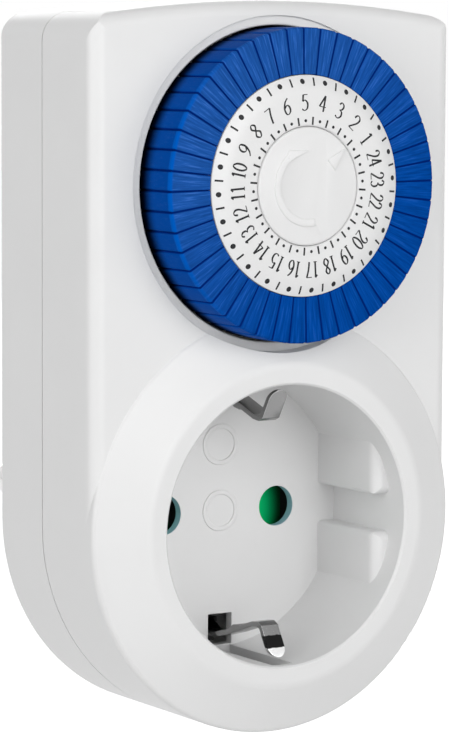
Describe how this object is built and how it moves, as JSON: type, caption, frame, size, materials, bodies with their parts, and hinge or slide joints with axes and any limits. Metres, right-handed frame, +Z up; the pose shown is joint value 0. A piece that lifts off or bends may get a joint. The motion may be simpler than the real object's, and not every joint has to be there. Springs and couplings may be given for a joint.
{
  "type": "plug-in timer switch",
  "caption": "Plug-in mechanical timer switch: dial of push-in tabs above an earthed through socket, plug on the back.",
  "frame": {"origin": "middle of the plug's end face, midway between the two plug pins", "axes": "+Y along the plug pins into the wall socket, +Z up towards the dial, +X to the right seen from the front"},
  "size_m": [0.06, 0.0703, 0.1019],
  "materials": {
    "white_shell": "fine satin moulding",
    "white_print": "smooth, printed black scale",
    "blue_tab": "satin with fine lengthwise marks",
    "natural_plastic": "plain moulding",
    "gear_plastic": "natural acetal",
    "green_shutter": "smooth",
    "dark_insulation": "plain moulding",
    "earth_metal": "bright nickel plate",
    "pin_metal": "bright nickel plate",
    "brass_strip": "bare stamped brass",
    "screw_steel": "zinc plated",
    "motor_steel": "zinc plated sheet",
    "pinion_brass": "turned",
    "spring_steel": "drawn wire",
    "lead_cover": "soft insulation"
  },
  "bodies": {
    "case": {"front_housing": "white_shell", "rear_housing": "white_shell", "housing_screws": "screw_steel", "movement_plate": "natural_plastic", "plate_screws": "screw_steel", "centre_cap": "white_shell", "motor_can": "motor_steel", "motor_cover": "dark_insulation", "motor_screws": "screw_steel", "motor_leads": "lead_cover", "shutter_spring": "spring_steel", "contact_carrier": "dark_insulation", "earth_strip_upper": "earth_metal", "earth_strip_lower": "earth_metal", "earth_bridge": "earth_metal", "socket_contact_live": "brass_strip", "socket_contact_neutral": "brass_strip", "plug_pin_live": "pin_metal", "plug_pin_neutral": "pin_metal", "live_strip": "brass_strip", "neutral_strip": "brass_strip", "fixed_contact": "brass_strip", "lever_pin": "screw_steel"},
    "dial": {"dial_drum": "natural_plastic", "number_disc": "white_print"},
    "arbor": {"arbor_gear": "gear_plastic"},
    "motor_shaft": {"motor_pinion": "pinion_brass"},
    "shutter": {"shutter": "green_shutter"},
    "lever": {"switch_lever": "gear_plastic"},
    "blade": {"contact_blade": "brass_strip"},
    "override": {"override_slider": "dark_insulation"},
    "tabs_01": {"tab_pair_01": "blue_tab"},
    "tabs_02": {"tab_pair_02": "blue_tab"},
    "tabs_03": {"tab_pair_03": "blue_tab"},
    "tabs_04": {"tab_pair_04": "blue_tab"},
    "tabs_05": {"tab_pair_05": "blue_tab"},
    "tabs_06": {"tab_pair_06": "blue_tab"},
    "tabs_07": {"tab_pair_07": "blue_tab"},
    "tabs_08": {"tab_pair_08": "blue_tab"},
    "tabs_09": {"tab_pair_09": "blue_tab"},
    "tabs_10": {"tab_pair_10": "blue_tab"},
    "tabs_11": {"tab_pair_11": "blue_tab"},
    "tabs_12": {"tab_pair_12": "blue_tab"},
    "tabs_13": {"tab_pair_13": "blue_tab"},
    "tabs_14": {"tab_pair_14": "blue_tab"},
    "tabs_15": {"tab_pair_15": "blue_tab"},
    "tabs_16": {"tab_pair_16": "blue_tab"},
    "tabs_17": {"tab_pair_17": "blue_tab"},
    "tabs_18": {"tab_pair_18": "blue_tab"},
    "tabs_19": {"tab_pair_19": "blue_tab"},
    "tabs_20": {"tab_pair_20": "blue_tab"},
    "tabs_21": {"tab_pair_21": "blue_tab"},
    "tabs_22": {"tab_pair_22": "blue_tab"},
    "tabs_23": {"tab_pair_23": "blue_tab"},
    "tabs_24": {"tab_pair_24": "blue_tab"}
  },
  "joints": [
    {"name": "dial_turn", "type": "hinge", "parent": "case", "child": "dial", "pos_m": [0, -0.047, 0.0472], "axis": [0, 1, 0], "continuous": true},
    {"name": "shutter_slide", "type": "slide", "parent": "case", "child": "shutter", "axis": [-1, 0, 0], "range_m": [0, 0.0056], "stiffness_N_per_m": 150, "deforming": ["shutter_spring"]},
    {"name": "lever_tilt", "type": "hinge", "parent": "case", "child": "lever", "pos_m": [0.017, -0.0326, 0.02922], "axis": [0, 0, -1], "range_deg": [0, 4.12], "stiffness_Nm_per_rad": 0.02},
    {"name": "override_slide", "type": "slide", "parent": "case", "child": "override", "axis": [0, 0, 1], "range_m": [0, 0.004]},
    {"name": "arbor_spin", "type": "hinge", "parent": "case", "child": "arbor", "pos_m": [-0.00784, -0.047, 0.04279], "axis": [0, 1, 0], "continuous": true},
    {"name": "motor_spin", "type": "hinge", "parent": "case", "child": "motor_shaft", "pos_m": [-0.0105, -0.047, 0.055], "axis": [0, 1, 0], "continuous": true},
    {"name": "blade_bend", "type": "hinge", "parent": "case", "child": "blade", "pos_m": [0.011, -0.0299, 0.02922], "axis": [0, 0, -1], "range_deg": [0, 6.2]},
    {"name": "tab_01_push", "type": "slide", "parent": "dial", "child": "tabs_01", "axis": [0, 1, 0], "range_m": [0, 0.0025]},
    {"name": "tab_02_push", "type": "slide", "parent": "dial", "child": "tabs_02", "axis": [0, 1, 0], "range_m": [0, 0.0025]},
    {"name": "tab_03_push", "type": "slide", "parent": "dial", "child": "tabs_03", "axis": [0, 1, 0], "range_m": [0, 0.0025]},
    {"name": "tab_04_push", "type": "slide", "parent": "dial", "child": "tabs_04", "axis": [0, 1, 0], "range_m": [0, 0.0025]},
    {"name": "tab_05_push", "type": "slide", "parent": "dial", "child": "tabs_05", "axis": [0, 1, 0], "range_m": [0, 0.0025]},
    {"name": "tab_06_push", "type": "slide", "parent": "dial", "child": "tabs_06", "axis": [0, 1, 0], "range_m": [0, 0.0025]},
    {"name": "tab_07_push", "type": "slide", "parent": "dial", "child": "tabs_07", "axis": [0, 1, 0], "range_m": [0, 0.0025]},
    {"name": "tab_08_push", "type": "slide", "parent": "dial", "child": "tabs_08", "axis": [0, 1, 0], "range_m": [0, 0.0025]},
    {"name": "tab_09_push", "type": "slide", "parent": "dial", "child": "tabs_09", "axis": [0, 1, 0], "range_m": [0, 0.0025]},
    {"name": "tab_10_push", "type": "slide", "parent": "dial", "child": "tabs_10", "axis": [0, 1, 0], "range_m": [0, 0.0025]},
    {"name": "tab_11_push", "type": "slide", "parent": "dial", "child": "tabs_11", "axis": [0, 1, 0], "range_m": [0, 0.0025]},
    {"name": "tab_12_push", "type": "slide", "parent": "dial", "child": "tabs_12", "axis": [0, 1, 0], "range_m": [0, 0.0025]},
    {"name": "tab_13_push", "type": "slide", "parent": "dial", "child": "tabs_13", "axis": [0, 1, 0], "range_m": [0, 0.0025]},
    {"name": "tab_14_push", "type": "slide", "parent": "dial", "child": "tabs_14", "axis": [0, 1, 0], "range_m": [0, 0.0025]},
    {"name": "tab_15_push", "type": "slide", "parent": "dial", "child": "tabs_15", "axis": [0, 1, 0], "range_m": [0, 0.0025]},
    {"name": "tab_16_push", "type": "slide", "parent": "dial", "child": "tabs_16", "axis": [0, 1, 0], "range_m": [0, 0.0025]},
    {"name": "tab_17_push", "type": "slide", "parent": "dial", "child": "tabs_17", "axis": [0, 1, 0], "range_m": [0, 0.0025]},
    {"name": "tab_18_push", "type": "slide", "parent": "dial", "child": "tabs_18", "axis": [0, 1, 0], "range_m": [0, 0.0025]},
    {"name": "tab_19_push", "type": "slide", "parent": "dial", "child": "tabs_19", "axis": [0, 1, 0], "range_m": [0, 0.0025]},
    {"name": "tab_20_push", "type": "slide", "parent": "dial", "child": "tabs_20", "axis": [0, 1, 0], "range_m": [0, 0.0025]},
    {"name": "tab_21_push", "type": "slide", "parent": "dial", "child": "tabs_21", "axis": [0, 1, 0], "range_m": [0, 0.0025]},
    {"name": "tab_22_push", "type": "slide", "parent": "dial", "child": "tabs_22", "axis": [0, 1, 0], "range_m": [0, 0.0025]},
    {"name": "tab_23_push", "type": "slide", "parent": "dial", "child": "tabs_23", "axis": [0, 1, 0], "range_m": [0, 0.0025]},
    {"name": "tab_24_push", "type": "slide", "parent": "dial", "child": "tabs_24", "axis": [0, 1, 0], "range_m": [0, 0.0025]}
  ],
  "couplings": [
    {"joint": "arbor_spin", "follows": "dial_turn", "ratio": 4},
    {"joint": "motor_spin", "follows": "dial_turn", "ratio": -16},
    {"joint": "blade_bend", "follows": "lever_tilt", "ratio": 1.5}
  ]
}
